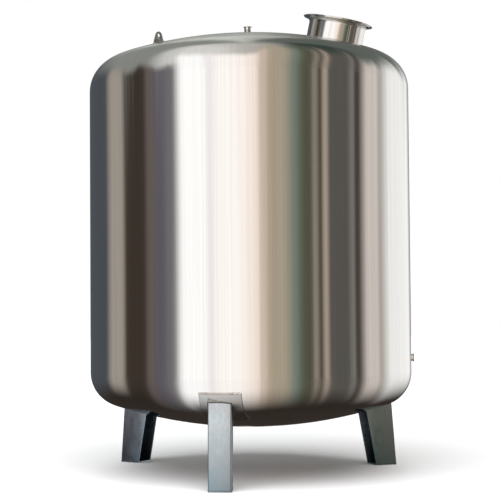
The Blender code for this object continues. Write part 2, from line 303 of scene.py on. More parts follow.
# Heat tint comes and goes along a bead every 30 mm or so, and a wire brush takes most of it off.
# The brushed bead's near-white tint is also a painted highlight, most of all along a pad's top.
HEAT = 0.03, 2.0, {1: 0.35, 2: 0.65}
brushed_and_highlit = uneven_sheen(*HEAT, ("e6dfda", "faf6f3"), {3: 0.16, 4: 0.26})
BRUSHED_HIGHLIT_WELD = metal("brushed_tig_weld_painted_highlight", brushed_and_highlit)
# An unbrushed bead keeps a dark grey-brown scale, which scatters what little it reflects. Its dark
# tint is also a painted shade, for the crevices beside the pads, over the legs and at the feet.
scale_and_shade = uneven_sheen(*HEAT, ("6a6464", "8c8785"), {3: 0.42, 4: 0.58})
SCALED_AND_SHADED_WELD = metal("raw_tig_weld_painted_shade", scale_and_shade)

# %% [markdown]
# ## Turned pieces
# The shell, the heads, the neck and the ferrules are all a section swept round an axis. A Geometry
# Nodes tree does it by rule: a grid whose rows are the section's points and whose columns are the
# steps round the axis, bent into place. Its inputs are the section and the number of steps.


# %% The two ends of a tree
def start_tree(name, inputs, output):
    """An empty Geometry Nodes tree with named inputs, a finish among them, and one output."""
    tree = bpy.data.node_groups.new(name, "GeometryNodeTree")
    for label, kind in (inputs | {"Finish": "Material"}).items():
        tree.interface.new_socket(label, in_out="INPUT", socket_type=f"NodeSocket{kind}")
    tree.interface.new_socket(output, in_out="OUTPUT", socket_type="NodeSocketGeometry")
    return tree, partial(add_node, tree), add_node(tree, "NodeGroupInput").outputs


def end_tree(tree, shape, given):
    """Ends a tree with its shape made real and given its finish."""
    solid = add_node(tree, "GeometryNodeRealizeInstances", {"Geometry": shape})
    finish = {"Geometry": solid, "Material": given["Finish"]}
    coated = add_node(tree, "GeometryNodeSetMaterial", finish)
    add_node(tree, "NodeGroupOutput", {0: coated})
    print(tree.name, "has", len(tree.nodes), "nodes")
    return tree


# %% A tree that turns a section round the Z axis
SAME_POINT = 0.00001


def turning_tree():
    inputs = {"Section": "Geometry", "Steps Round": "Int", "Section Points": "Int"}
    tree, add, given = start_tree("turned_section", inputs, "Turned")
    points, steps = given["Section Points"], given["Steps Round"]
    rows = add("FunctionNodeIntegerMath", {0: points, 1: 1}, operation="ADD")
    columns = add("FunctionNodeIntegerMath", {0: steps, 1: 1}, operation="ADD")
    grid = add("GeometryNodeMeshGrid", {"Vertices X": columns, "Vertices Y": rows})
    index = add("GeometryNodeInputIndex")
    by_rows = {0: index, 1: rows}
    column = add("FunctionNodeIntegerMath", by_rows, operation="DIVIDE_FLOOR")
    row = add("FunctionNodeIntegerMath", by_rows, operation="MODULO")
    point = add("FunctionNodeIntegerMath", {0: row, 1: points}, operation="MODULO")
    place = add("GeometryNodeInputPosition")
    sample = {"Geometry": given["Section"], "Value": place, "Index": point}
    found = add("GeometryNodeSampleIndex", sample, data_type="FLOAT_VECTOR")
    section = add("ShaderNodeSeparateXYZ", {0: found}).outputs
    share = add("ShaderNodeMath", {0: column, 1: steps}, operation="DIVIDE")
    turn = add("ShaderNodeMath", {0: share, 1: 2.0 * math.pi}, operation="MULTIPLY")
    cosine = add("ShaderNodeMath", {0: turn}, operation="COSINE")
    sine = add("ShaderNodeMath", {0: turn}, operation="SINE")
    x = add("ShaderNodeMath", {0: section[0], 1: cosine}, operation="MULTIPLY")
    y = add("ShaderNodeMath", {0: section[0], 1: sine}, operation="MULTIPLY")
    spot = add("ShaderNodeCombineXYZ", {0: x, 1: y, 2: section[2]})
    bent = add("GeometryNodeSetPosition", {"Geometry": grid, "Position": spot})
    joined = add("GeometryNodeMergeByDistance", {"Geometry": bent, "Distance": SAME_POINT})
    return end_tree(tree, joined, given)


TURNING = turning_tree()

# %% Turn a section
STEEL_DENSITY = 7850.0
# Steps enough for each size of piece to look round in a mirror finish.
SHELL_STEPS, NECK_STEPS, PIPE_STEPS = 288, 192, 64


def shade(mesh, sharp):
    """Shades a mesh smooth, but for edges sharper than an angle in degrees."""
    mesh.shade_smooth()
    mesh.set_sharp_from_angle(angle=math.radians(sharp))


def smooth_outward(mesh, sharp=35.0):
    """Merges doubles, points the faces outwards, and shades smooth between the sharp edges."""
    shape = bmesh.new()
    shape.from_mesh(mesh)
    bmesh.ops.remove_doubles(shape, verts=shape.verts, dist=SAME_POINT)
    bmesh.ops.recalc_face_normals(shape, faces=shape.faces)
    volume = shape.calc_volume(signed=True)
    shape.to_mesh(mesh)
    shape.free()
    shade(mesh, sharp)
    return volume


def turned(name, section, finish, steps, place=Matrix.Identity(4)):
    """A closed section of (reach, height) points, turned round Z and set in its place."""
    line = bpy.data.meshes.new(name + "_section")
    points = [(reach, 0.0, height) for reach, height in section]
    line.from_pydata(points, [(i, i + 1) for i in range(len(points) - 1)], [])
    values = {"Steps Round": steps, "Section Points": len(points), "Finish": finish}
    mesh = run_tree(name, TURNING, line, values)
    volume = smooth_outward(mesh)
    mesh.transform(place)
    print(name, "would weigh", round(volume * STEEL_DENSITY, 1), "kg")
    return mesh


cut_in = SHELL_RADIUS * (1 - math.cos(math.pi / SHELL_STEPS))
print("the shell's steps cut its curve by", round(cut_in * 1000, 2), "mm")

# %% [markdown]
# ## Shell and heads
# The solids show the shell as 72 flats, and a mirror would show each one. So one smooth cylinder
# stands for the six plates, whose seams were ground flush. A dished head is two arcs: a tight
# knuckle, and a shallow crown tangent to it.

# %% Shell
inside = SHELL_RADIUS - SHELL_WALL
shell_section = [
    (SHELL_RADIUS, SHELL_TOP),
    (SHELL_RADIUS, SHELL_FOOT),
    (inside, SHELL_FOOT),
    (inside, SHELL_TOP),
]
shell_mesh = turned("shell", shell_section, POLISHED, SHELL_STEPS)
plates = [f"shell_plate_{n}" for n in range(1, 7)]
add_piece("shell", shell_mesh, "polished_stainless", *plates)

# %% Heads
KNUCKLE_STEPS = 20
CROWN_STEPS = 36
PIPE_RADIUS = 0.0255


def head_line(offset, hole=0.0):
    """Half of a head's section as (reach, height over the tangent line), knuckle to crown."""
    line = []
    for step in range(KNUCKLE_STEPS + 1):
        angle = KNUCKLE_ANGLE * step / KNUCKLE_STEPS
        reach = KNUCKLE_REACH + (KNUCKLE_RADIUS + offset) * math.cos(angle)
        line.append((reach, (KNUCKLE_RADIUS + offset) * math.sin(angle)))
    radius = CROWN_RADIUS + offset
    for step in range(1, CROWN_STEPS + 1):
        angle = max(CROWN_ANGLE * (1 - step / CROWN_STEPS), math.asin(hole / radius))
        height = HEAD_DEPTH - CROWN_RADIUS + radius * math.cos(angle)
        line.append((radius * math.sin(angle), height))
    return line


lower = [(r, SHELL_FOOT - h) for r, h in head_line(0.0) + head_line(-HEAD_WALL)[::-1]]
lower_mesh = turned("lower_head", lower, TURNED_POLISH, SHELL_STEPS)
add_piece("lower_head", lower_mesh, "polished_stainless", "bottom_head")

vent_hole = PIPE_RADIUS + SEAM_GAP
upper = head_line(0.0, vent_hole) + head_line(-HEAD_WALL, vent_hole)[::-1]
upper = [(r, SHELL_TOP + h) for r, h in upper]
upper_mesh = turned("upper_head", upper, TURNED_POLISH, SHELL_STEPS)

# %% [markdown]
# The manway goes through the crown square to its surface. A round cutter makes the hole, with a
# Boolean that is applied at once, so that the piece ends as a plain mesh.

# %% Places on the crown
MANWAY_REACH = 0.690
MANWAY_BEARING = 67.5
MANWAY_RADIUS = 0.207


def turn_to(bearing):
    """The turn that brings what is drawn about +X to a bearing."""
    return Matrix.Rotation(math.radians(bearing - 90), 4, "Z")


def crown_height(reach):
    """The height of the upper crown at a reach."""
    return APEX - CROWN_RADIUS + math.sqrt(CROWN_RADIUS**2 - reach**2)


def on_crown(bearing, reach):
    """A place that stands on the upper crown and points square out of it."""
    out = Matrix.Translation((reach, 0, crown_height(reach)))
    return turn_to(bearing) @ out @ Matrix.Rotation(math.asin(reach / CROWN_RADIUS), 4, "Y")


MANWAY_PLACE = on_crown(MANWAY_BEARING, MANWAY_REACH)
print("manway stands at", [round(x, 3) for x in MANWAY_PLACE.translation])

# %% Cut the manway's hole
HOLE_SIDES = 128
HOLE_RADIUS = MANWAY_RADIUS + SEAM_GAP
size = {"segments": HOLE_SIDES, "radius1": HOLE_RADIUS, "radius2": HOLE_RADIUS, "depth": 0.2}
hole_shape = bmesh.new()
bmesh.ops.create_cone(hole_shape, cap_ends=True, **size)
hole_mesh = bpy.data.meshes.new("manway_hole")
hole_shape.to_mesh(hole_mesh)
hole_shape.free()
hole_mesh.transform(MANWAY_PLACE)
cutter = add_object("manway_cutter", hole_mesh)
cut = {"operation": "DIFFERENCE", "solver": "EXACT", "object": cutter}
upper_mesh = modified("upper_head", upper_mesh, "BOOLEAN", cut)
bpy.data.objects.remove(cutter)
smooth_outward(upper_mesh)
add_piece("upper_head", upper_mesh, "satin_stainless", "top_head")

# %% [markdown]
# ## Manway, vent and outlet
# The neck is a rolled tube whose mouth is turned out over a small radius, with a flat ring on it
# for a gasket. Each pipe end is a clamp ferrule: a thin lip, flat in front and sloped behind.


# %% Manway neck
def arc(centre, radius, start, end, steps):
    """Points on an arc in a section, from one angle to another in degrees."""
    points = []
    for step in range(steps + 1):
        angle = math.radians(start + (end - start) * step / steps)
        points.append((centre[0] + radius * math.cos(angle), centre[1] + radius * math.sin(angle)))
    return points


NECK_WALL = 0.004
NECK_TOP = 0.155
NECK_INSIDE = 0.024
FLARE = 0.032
FLARE_STEPS = 12
RIM_WALL = 0.006
lip = NECK_TOP - RIM_WALL - SEAM_GAP
turn = (MANWAY_RADIUS + FLARE, lip - NECK_WALL - FLARE)
neck_section = arc(turn, FLARE, 90, 180, FLARE_STEPS)
neck_section += [(MANWAY_RADIUS, -NECK_INSIDE), (MANWAY_RADIUS - NECK_WALL, -NECK_INSIDE)]
neck_section += arc(turn, FLARE + NECK_WALL, 180, 90, FLARE_STEPS)
neck_mesh = turned("manway_neck_tube", neck_section, POLISHED, NECK_STEPS, MANWAY_PLACE)
add_piece("manway_neck_tube", neck_mesh, "polished_stainless", "manway_neck")

# %% Manway rim
RIM_RADIUS = 0.256
RIM_EDGE = 0.0015
outer, inner = RIM_RADIUS - RIM_EDGE, MANWAY_RADIUS + RIM_EDGE
high, low = NECK_TOP - RIM_EDGE, NECK_TOP - RIM_WALL + RIM_EDGE
rim_corners = ((outer, high, 90), (outer, low, 0), (inner, low, 270), (inner, high, 180))
rim_section = []
for reach, height, start in rim_corners:
    rim_section += arc((reach, height), RIM_EDGE, start, start - 90, 4)
rim_mesh = turned("manway_rim_ring", rim_section, POLISHED, NECK_STEPS, MANWAY_PLACE)
add_piece("manway_rim_ring", rim_mesh, "polished_stainless", "manway_rim")

# %% Vent and outlet
PIPE_BORE = 0.0239
PIPE_INSIDE = 0.012
FERRULE_RADIUS = 0.032
FERRULE_LENGTH = 0.0215
FERRULE_LIP = 0.0030
FERRULE_SLOPE = 0.0025
FERRULE_EDGE = 0.0008
BORE_EASE = 0.0005


def ferrule_section(low, high):
    reach, behind = FERRULE_RADIUS - FERRULE_EDGE, high - FERRULE_LIP
    section = arc((reach, high - FERRULE_EDGE), FERRULE_EDGE, 90, 0, 3)
    section += arc((reach, behind + FERRULE_EDGE), FERRULE_EDGE, 0, -60, 3)
    section += [(PIPE_RADIUS, behind - FERRULE_SLOPE), (PIPE_RADIUS, low), (PIPE_BORE, low)]
    return section + [(PIPE_BORE, high - FERRULE_EDGE), (PIPE_BORE + BORE_EASE, high)]


def pipe_section(low, high):
    return [(PIPE_RADIUS, high), (PIPE_RADIUS, low), (PIPE_BORE, low), (PIPE_BORE, high)]


VENT_TOP = APEX + 0.100
OUTLET_FACE = SHELL_RADIUS + 0.026
OUTLET_HEIGHT = SHELL_FOOT + 0.098
OUTLET_PLACE = Matrix.Translation((0, 0, OUTLET_HEIGHT)) @ Matrix.Rotation(math.pi / 2, 4, "Y")
pipe_ends = (
    ("vent", APEX - HEAD_WALL - PIPE_INSIDE, VENT_TOP, Matrix.Identity(4)),
    ("outlet", inside - PIPE_INSIDE, OUTLET_FACE, OUTLET_PLACE),
)
for label, low, high, place in pipe_ends:
    joint = high - FERRULE_LENGTH
    tube = turned(f"{label}_tube", pipe_section(low, joint), SATIN, PIPE_STEPS, place)
    add_piece(f"{label}_tube", tube, "satin_stainless", f"{label}_pipe")
    section = ferrule_section(joint, high)
    end = turned(f"{label}_clamp_end", section, POLISHED, PIPE_STEPS, place)
    add_piece(f"{label}_clamp_end", end, "polished_stainless", f"{label}_ferrule")

# %% [markdown]
# ## Legs, pads and lugs
# These are cut and folded plate, so their solids already have the right shape and only want the
# edges that a press and a grinder leave. A copy of each solid is merged into whole faces, its
# folds get a wide bevel, and every other edge a fine one.

# %% Plate pieces from their solids
FOLD = 0.010
EASED_EDGE = 0.0012


def plate_copy(node, finish, is_fold=lambda edge: False):
    """A merged copy of a solid with its folds rounded and its other edges eased."""
    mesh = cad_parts[node].data.copy()
    mesh.materials.clear()
    shape = bmesh.new()
    shape.from_mesh(mesh)
    bmesh.ops.remove_doubles(shape, verts=shape.verts, dist=SAME_POINT)
    flat = math.radians(1.0)
    bmesh.ops.dissolve_limit(shape, angle_limit=flat, verts=shape.verts, edges=shape.edges)
    layers = shape.edges.layers.float
    weight = layers.get("bevel_weight_edge") or layers.new("bevel_weight_edge")
    for edge in shape.edges:
        if len(edge.link_faces) == 2 and edge.calc_face_angle() > math.radians(30):
            edge[weight] = 1.0 if is_fold(edge) else EASED_EDGE / FOLD
    shape.to_mesh(mesh)
    shape.free()
    bevel = {"limit_method": "WEIGHT", "width": FOLD, "segments": 4}
    made = modified(node, mesh, "BEVEL", bevel)
    shade(made, 25.0)
    made.materials.append(finish)
    return made


print("folds", FOLD * 1000, "mm wide, eased edges", EASED_EDGE * 1000, "mm")

# %% Where the legs stand
LEG_BEARINGS = {"front": -10.0, "right": 113.8, "left": 235.5}
LEG_FACINGS = {"front": -2.0, "right": 111.0, "left": 238.0}
LEG_WIDTH = 0.160
LEG_REACH = 1.204
NEAR_WEB, NEAR_SIDE, LONG_EDGE = 0.004, 0.001, 0.4


def leg_place(side):
    """A leg's place: it is drawn about the foot of its web, with +X straight out from the web."""
    foot = turn_to(LEG_BEARINGS[side]) @ Vector((LEG_REACH, 0.0, 0.0))
    return Matrix.Translation(foot) @ turn_to(LEG_FACINGS[side])


def leg_folds(side):
    """A test for the two long outer edges of a leg, where its web meets its flanges."""
    to_leg = leg_place(side).inverted()

    def is_fold(edge):
        low, high = sorted((to_leg @ corner.co for corner in edge.verts), key=lambda spot: spot.z)
        on_web, on_side = low.x > -NEAR_WEB, abs(low.y) > LEG_WIDTH / 2 - NEAR_SIDE
        return high.z - low.z > LONG_EDGE and on_web and on_side

    return is_fold


for side in LEG_BEARINGS:
    print(side, "leg stands at", [round(x, 3) for x in leg_place(side).translation])

# %% Make the legs, feet and lugs
for side in LEG_BEARINGS:
    channel = plate_copy(f"leg_channel_{side}", MILL_PLATE, leg_folds(side))
    add_piece(f"folded_leg_{side}", channel, "folded_stainless_plate", f"leg_channel_{side}")
    foot = plate_copy(f"leg_foot_{side}", MILL_PLATE)
    add_piece(f"foot_plate_{side}", foot, "folded_stainless_plate", f"leg_foot_{side}")
for side in ("front", "rear"):
    lug = plate_copy(f"lifting_lug_{side}", SATIN)
    add_piece(f"lug_plate_{side}", lug, "satin_stainless", f"lifting_lug_{side}")

# %% [markdown]
# A wear pad is a patch of plate that was pressed to the head's own curve. Its solid has the facets
# of the head's, so the patch is made anew from points on the smooth head.

# %% Points on a pad
PAD_WIDTH = 0.290
PAD_WALL = 0.006
PAD_TOP = 0.092
PAD_INNER = 0.850
PAD_STEPS = 24


def lower_head_point(slope, aside, offset):
    """A point of the lower head, where its surface leans by slope from upright, on the upright
    plane about +X that passes beside the axis by the distance aside."""
    if slope < KNUCKLE_ANGLE:
        edge, radius, level = KNUCKLE_REACH, KNUCKLE_RADIUS + offset, SHELL_FOOT
    else:
        edge, radius = 0.0, CROWN_RADIUS + offset
        level = SHELL_FOOT + CROWN_RADIUS - HEAD_DEPTH
    reach = edge + radius * math.cos(slope)
    return Vector((math.sqrt(reach**2 - aside**2), aside, level - radius * math.sin(slope)))


def pad_point(down, across, offset):
    """A point of a pad about +X: down runs from 0 at its upper edge to 1 at its inner edge, and
    across from -1 to 1."""
    aside = across * PAD_WIDTH / 2
    top = math.asin(PAD_TOP / (KNUCKLE_RADIUS + offset))
    inner = math.acos(math.hypot(PAD_INNER, aside) / (CROWN_RADIUS + offset))
    # About half of the pad lies on the knuckle, and the rest on the crown.
    on_knuckle, on_crown_part = min(2 * down, 1.0), max(2 * down - 1.0, 0.0)
    slope = top + (KNUCKLE_ANGLE - top) * on_knuckle + (inner - KNUCKLE_ANGLE) * on_crown_part
    return lower_head_point(slope, aside, offset)


print("pad from", *([round(x, 3) for x in pad_point(down, 0, 0)] for down in (0, 1)))


# %% Make the wear pads
def pad_mesh(bearing):
    """A patch of plate that hugs the lower head, with a wall outwards."""
    shape = bmesh.new()
    layers = []
    for offset in (SEAM_GAP, PAD_WALL + SEAM_GAP):
        spots = [
            [pad_point(j / PAD_STEPS, 2 * i / PAD_STEPS - 1, offset) for i in range(PAD_STEPS + 1)]
            for j in range(PAD_STEPS + 1)
        ]
        layers.append([[shape.verts.new(spot) for spot in row] for row in spots])
    for rows in layers:
        for near, far in zip(rows, rows[1:]):
            for i in range(PAD_STEPS):
                shape.faces.new((near[i], near[i + 1], far[i + 1], far[i]))
    inner, outer = layers
    for j in range(PAD_STEPS):
        for i in (0, PAD_STEPS):
            shape.faces.new((inner[j][i], inner[j + 1][i], outer[j + 1][i], outer[j][i]))
            shape.faces.new((inner[i][j], inner[i][j + 1], outer[i][j + 1], outer[i][j]))
    bmesh.ops.recalc_face_normals(shape, faces=shape.faces)
    mesh = bpy.data.meshes.new("pad")
    shape.to_mesh(mesh)
    shape.free()
    mesh.transform(turn_to(bearing))
    mesh.materials.append(SATIN)
    shade(mesh, 30.0)
    return mesh


for side, bearing in LEG_BEARINGS.items():
    add_piece(f"wear_pad_{side}", pad_mesh(bearing), "satin_stainless", f"leg_pad_{side}")

# %% [markdown]
# ## Weld beads
# Every joint of the tank was welded by hand, and each bead is a string of small overlapping pools.
# A Geometry Nodes tree lays one along any path: it swells and shrinks the bead once a pool, and
# wanders a little as a hand does. A pool is 3 mm long, too fine to show, so it is drawn 9 mm long,
# or 5 to 7 mm on the small pieces.

# %% A tree that lays a bead along a path
RINGS_PER_POOL = 5.0
RING_SIDES = 8
# A pool starts this thin and swells to its end, in shares of the bead's radius.
POOL_START = 0.8
POOL_SWELL = 0.5
HAND_WANDER = {3: 0.85, 4: 1.15}
WANDERS_PER_METRE = 30.0


def bead_tree():
    inputs = {"Path": "Geometry", "Bead Radius": "Float", "Pool Length": "Float"}
    inputs |= {"Pool Swell": "Float", "Seed": "Float"}
    tree, add, given = start_tree("weld_bead", inputs, "Bead")
    pitch, swells = given["Pool Length"], given["Pool Swell"]
    line = add("GeometryNodeMeshToCurve", {"Mesh": given["Path"]})
    step = add("ShaderNodeMath", {0: pitch, 1: RINGS_PER_POOL}, operation="DIVIDE")
    even = add("GeometryNodeResampleCurve", {"Curve": line, "Length": step}, mode="LENGTH")
    length = add("GeometryNodeSplineParameter").outputs["Length"]
    pools = add("ShaderNodeMath", {0: length, 1: pitch}, operation="DIVIDE")
    pool = add("ShaderNodeMath", {0: pools}, operation="FRACT")
    swell = add("ShaderNodeMath", {0: pool, 1: swells, 2: POOL_START}, operation="MULTIPLY_ADD")
    noise = {"Scale": WANDERS_PER_METRE, "Detail": 1.0, "W": given["Seed"]}
    hand = add("ShaderNodeTexNoise", noise, noise_dimensions="4D")
    wander = add("ShaderNodeMapRange", {0: hand, **NOISE_SPAN, **HAND_WANDER})
    width = add("ShaderNodeMath", {0: swell, 1: wander}, operation="MULTIPLY")
    size = add("ShaderNodeMath", {0: width, 1: given["Bead Radius"]}, operation="MULTIPLY")
    ring = add("GeometryNodeCurvePrimitiveCircle", {"Resolution": RING_SIDES, "Radius": 1.0})
    sweep = {"Curve": even, "Profile Curve": ring, "Scale": size, "Fill Caps": True}
    swept = add("GeometryNodeCurveToMesh", sweep)
    return end_tree(tree, swept, given)


BEAD = bead_tree()

# %% Lay a bead
HAND_SEED = 3.0
POOL = 0.009
BEAD_SHARP = 80.0


def lay_bead(name, paths, radius, closed=True, pool=POOL, finish=BRUSHED_HIGHLIT_WELD):
    """One piece made of beads along paths of points in the tank's frame."""
    line = bpy.data.meshes.new(name + "_path")
    points, edges = [], []
    for path in paths:
        first = len(points)
        points += [tuple(point) for point in path]
        edges += [(first + i, first + i + 1) for i in range(len(path) - 1)]
        if closed:
            edges.append((len(points) - 1, first))
    line.from_pydata(points, edges, [])
    values = {"Bead Radius": radius, "Pool Length": pool, "Pool Swell": POOL_SWELL}
    mesh = run_tree(name, BEAD, line, values | {"Seed": HAND_SEED, "Finish": finish})
    smooth_outward(mesh, BEAD_SHARP)
    add_piece(name, mesh, "satin_stainless")


def circle(radius, height, place, steps=72):
    turns = [2 * math.pi * i / steps for i in range(steps)]
    return [place @ Vector((radius * math.cos(t), radius * math.sin(t), height)) for t in turns]


# %% Beads round the manway and the pipes
# A bead's middle lies this far outside the corner that it fills.
BEAD_OUT = 0.0005
NECK_BEAD_OUT = 0.001
PIPE_POOL = 0.005
sag = CROWN_RADIUS - math.sqrt(CROWN_RADIUS**2 - MANWAY_RADIUS**2)
neck_ring = circle(MANWAY_RADIUS + NECK_BEAD_OUT, NECK_BEAD_OUT - sag, MANWAY_PLACE, steps=180)
lay_bead("weld_manway", [neck_ring], 0.005)
pipe_seam = PIPE_RADIUS + BEAD_OUT
vent_ring = circle(pipe_seam, APEX + BEAD_OUT, Matrix.Identity(4))
lay_bead("weld_vent", [vent_ring], 0.003, pool=PIPE_POOL)
outlet_ring = [
    Vector((math.sqrt(SHELL_RADIUS**2 - p.y**2) + BEAD_OUT, p.y, p.z))
    for p in circle(pipe_seam, SHELL_RADIUS, OUTLET_PLACE)
]
lay_bead("weld_outlet", [outlet_ring], 0.0025, pool=PIPE_POOL)

# %% Beads round the lugs
LUG_REACH = 0.900
LUG_WIDTH = 0.090
LUG_WALL = 0.014
LUG_POOL = 0.007


def lug_outline(bearing, steps=8):
    """The outline of a lug's foot where it meets the crown."""
    long, thin = LUG_WIDTH / 2, LUG_WALL / 2
    corners = [(long, thin), (-long, thin), (-long, -thin), (long, -thin)]
    outline = []
    for (x0, y0), (x1, y1) in zip(corners, corners[1:] + corners[:1]):
        for i in range(steps):
            x, y = LUG_REACH + x0 + (x1 - x0) * i / steps, y0 + (y1 - y0) * i / steps
            height = crown_height(math.hypot(x, y)) + BEAD_OUT
            outline.append(turn_to(bearing) @ Vector((x, y, height)))
    return outline


lay_bead("weld_lugs", [lug_outline(-45.0), lug_outline(135.0)], 0.004, pool=LUG_POOL)

# %% Seams of the pads
PAD_BEAD_OUT = 0.0028


def pad_edge(bearing, *corners, steps=20):
    """A line along a wear pad's edge through corners given as (down, across), on the head."""
    turn = turn_to(bearing)
    line = []
    for (down, across), (next_down, next_across) in zip(corners, corners[1:]):
        for i in range(steps + 1):
            share = i / steps
            spot = (down + (next_down - down) * share, across + (next_across - across) * share)
            line.append(turn @ pad_point(*spot, PAD_BEAD_OUT))
    return line


pad_seam = pad_edge(0.0, (0, -1), (0, 1))
print("a pad's upper seam is", round((pad_seam[0] - pad_seam[-1]).length, 3), "m long")

# %% Seams of the legs
LEG_TOP = 0.596
LEG_DEPTH = 0.170
WEB_SLOPE = 0.045 / LEG_TOP
INNER_SLOPE = 0.191
LEG_BEAD_OUT = 0.001
MEETING_ROUNDS = 12
MOST_RUNS = 5


def leg_point(side, part, height):
    """A point of a leg's outer skin. The part runs from 0 at one flange's inner edge to 1 at the
    fold, 2 at the other fold and 3 at the other inner edge."""
    web, inner = -WEB_SLOPE * height, -LEG_DEPTH - INNER_SLOPE * height
    if part < 1:
        out, across = inner + (web - inner) * part, LEG_WIDTH / 2
    elif part < 2:
        out, across = web, LEG_WIDTH * (1.5 - part)
    else:
        out, across = web + (inner - web) * (part - 2), -LEG_WIDTH / 2
    return leg_place(side) @ Vector((out, across, height))


def under_pad(spot):
    """The height of a pad's outer face, and a little more for a bead, over or under a spot."""
    reach, offset = math.hypot(spot.x, spot.y), PAD_WALL + LEG_BEAD_OUT
    if reach > (CROWN_RADIUS + offset) * math.sin(CROWN_ANGLE):
        drop = max((KNUCKLE_RADIUS + offset) ** 2 - (reach - KNUCKLE_REACH) ** 2, 0.0)
        return SHELL_FOOT - math.sqrt(drop)
    middle = SHELL_FOOT + CROWN_RADIUS - HEAD_DEPTH
    return middle - math.sqrt((CROWN_RADIUS + offset) ** 2 - reach**2)


def leg_seam(side, steps=48):
    """The line where a leg meets its pad, found by stepping each point up and down its leg."""
    seam = []
    for i in range(steps + 1):
        height = LEG_TOP
        for _ in range(MEETING_ROUNDS):
            meet = under_pad(leg_point(side, 3 * i / steps, height))
            height = min(LEG_TOP, (height + meet) / 2)
        seam.append(leg_point(side, 3 * i / steps, height))
    return seam


def fill_runs(side, pitch=0.006, steps=32):
    """The runs that fill the gap between a leg's level top and its pad, one over the other."""
    runs = []
    for lift in range(1, MOST_RUNS + 1):
        run = []
        for i in range(steps + 1):
            spot = leg_point(side, 1 + i / steps, LEG_TOP)
            if under_pad(spot) > LEG_TOP + pitch * (lift - 0.5):
                run.append(spot + Vector((0, 0, pitch * lift)))
        if len(run) > 1:
            runs.append(run)
    return runs


gaps = [under_pad(leg_point("front", 1 + i / 8, LEG_TOP)) - LEG_TOP for i in range(9)]
print("the front leg's top takes a fill up to", round(max(gaps) * 1000), "mm high")

# %% Beads on the pads and the legs
FOOT_SEAM = 0.0105
for side, bearing in LEG_BEARINGS.items():
    other_edges = pad_edge(bearing, (0, 1), (1, 1), (1, -1), (0, -1))
    foot_seam = [leg_point(side, 3 * i / 24, FOOT_SEAM) for i in range(25)]
    beads = (
        # The bright bead along a pad's upper edge is partly a painted highlight.
        ("pad_top", [pad_edge(bearing, (0, -1), (0, 1))], 0.0062, BRUSHED_HIGHLIT_WELD),
        # The dark beads at the pads' other edges, the legs' tops and the feet paint the crevices'
        # shade.
        ("pad", [other_edges], 0.0025, SCALED_AND_SHADED_WELD),
        ("fill", fill_runs(side), 0.004, SATIN),
        ("leg", [leg_seam(side)], 0.004, SCALED_AND_SHADED_WELD),
        ("foot", [foot_seam], 0.002, SCALED_AND_SHADED_WELD),
    )
    for label, paths, radius, finish in beads:
        lay_bead(f"weld_{label}_{side}", paths, radius, closed=False, finish=finish)

# %% [markdown]
# ## The studio
# A mirror shows what stands round it. The camera's own background is plain and pale, and a ring of
# upright cards, each one tone, stands round the tank for its sides to reflect. Over the cards is a
# ceiling that is pale on one side and dim on the other, and below them the ground darkens towards
# the tank, which gives the dull dome and the dark underside. The ring is a world made of nodes, so
# it sheds soft light as well.

# %% Cards and ceiling
# Each card: its two edges as azimuths in degrees round the tank, its tone, and how high it stands,
# in degrees over the horizon. The azimuth is 0 towards the camera and grows to the right. A ramp
# holds 32 stops, so the ring is three ramps.
LEFT_CARDS = (
    (-170, -122, "464a50", 14),
    (-114, -101, "99928a", 14),
    (-96, -88, "39312b", 5),
    (-83, -78, "39312b", 20),
    (-75, -70, "605855", 16),
    (-67, -61, "5c5860", 7),
    (-59, -53.5, "6a686b", 14),
)
FRONT_CARDS = (
    (-47, -30, "ffffff", 42),
    (-27.5, -25.5, "ece6e9", 43),
    (-23, -9, "fdf8f5", 40),
    (-6, -1, "faf2ec", 39),
    (0, 5, "f4e6de", 40),
    (8, 11, "c6b5a6", 60),
    (14, 24, "a59a88", 70),
)
RIGHT_CARDS = (
    (30.5, 32.5, "727b72", 60),
    (35, 36, "596153", 60),
    (39, 43.5, "4d4c40", 60),
    (45, 47.8, "867f72", 50),
    (49.3, 50.8, "453f34", 50),
    (53.2, 55.2, "a3968a", 50),
    (57.3, 72, "54524e", 40),
    (76.5, 77, "7a7570", 40),
    (79.5, 82.5, "403a37", 35),
    (90, 101, "c6beb8", 18),
    (103, 105, "a8a29c", 15),
    (116, 135, "e9e8e7", 15),
    (140, 154, "e9e8e7", 5),
    (158, 161, "aeb0b2", 5),
    (168, 176.5, "3b3836", 21),
    (178, 179.5, "4a4745", 12),
)
CEILING = (
    (-180, -168, "bec1bb", 90),
    (-150, -74, "81837f", 90),
    (-60, -58, "c0c0be", 90),
    (-46, -20, "d0cfcc", 90),
    (-1, 1, "b2aea8", 90),
    (19, 22, "96928c", 90),
    (33, 36, "5e645a", 90),
    (50, 80, "343f3a", 90),
    (90, 115, "585e5a", 90),
    (150, 165, "5a5e5a", 90),
    (170, 171, "747872", 90),
    (175, 180, "b0b2ac", 90),
)
ZENITH = "b0aeaa"
GROUND = "2d2723"
BACKDROP = "ffffff"
CARD_LIGHT = 1.45
print(len(LEFT_CARDS + FRONT_CARDS + RIGHT_CARDS), "cards round the tank")


# %% Ramps of cards
def set_stops(ramp, wanted):
    """Gives a colour ramp its stops, each a position and an RGBA colour."""
    stops = ramp.color_ramp.elements
    while len(stops) < len(wanted):
        stops.new(1.0)
    for stop, (position, colour) in zip(stops, wanted):
        stop.position = position
        stop.color = colour


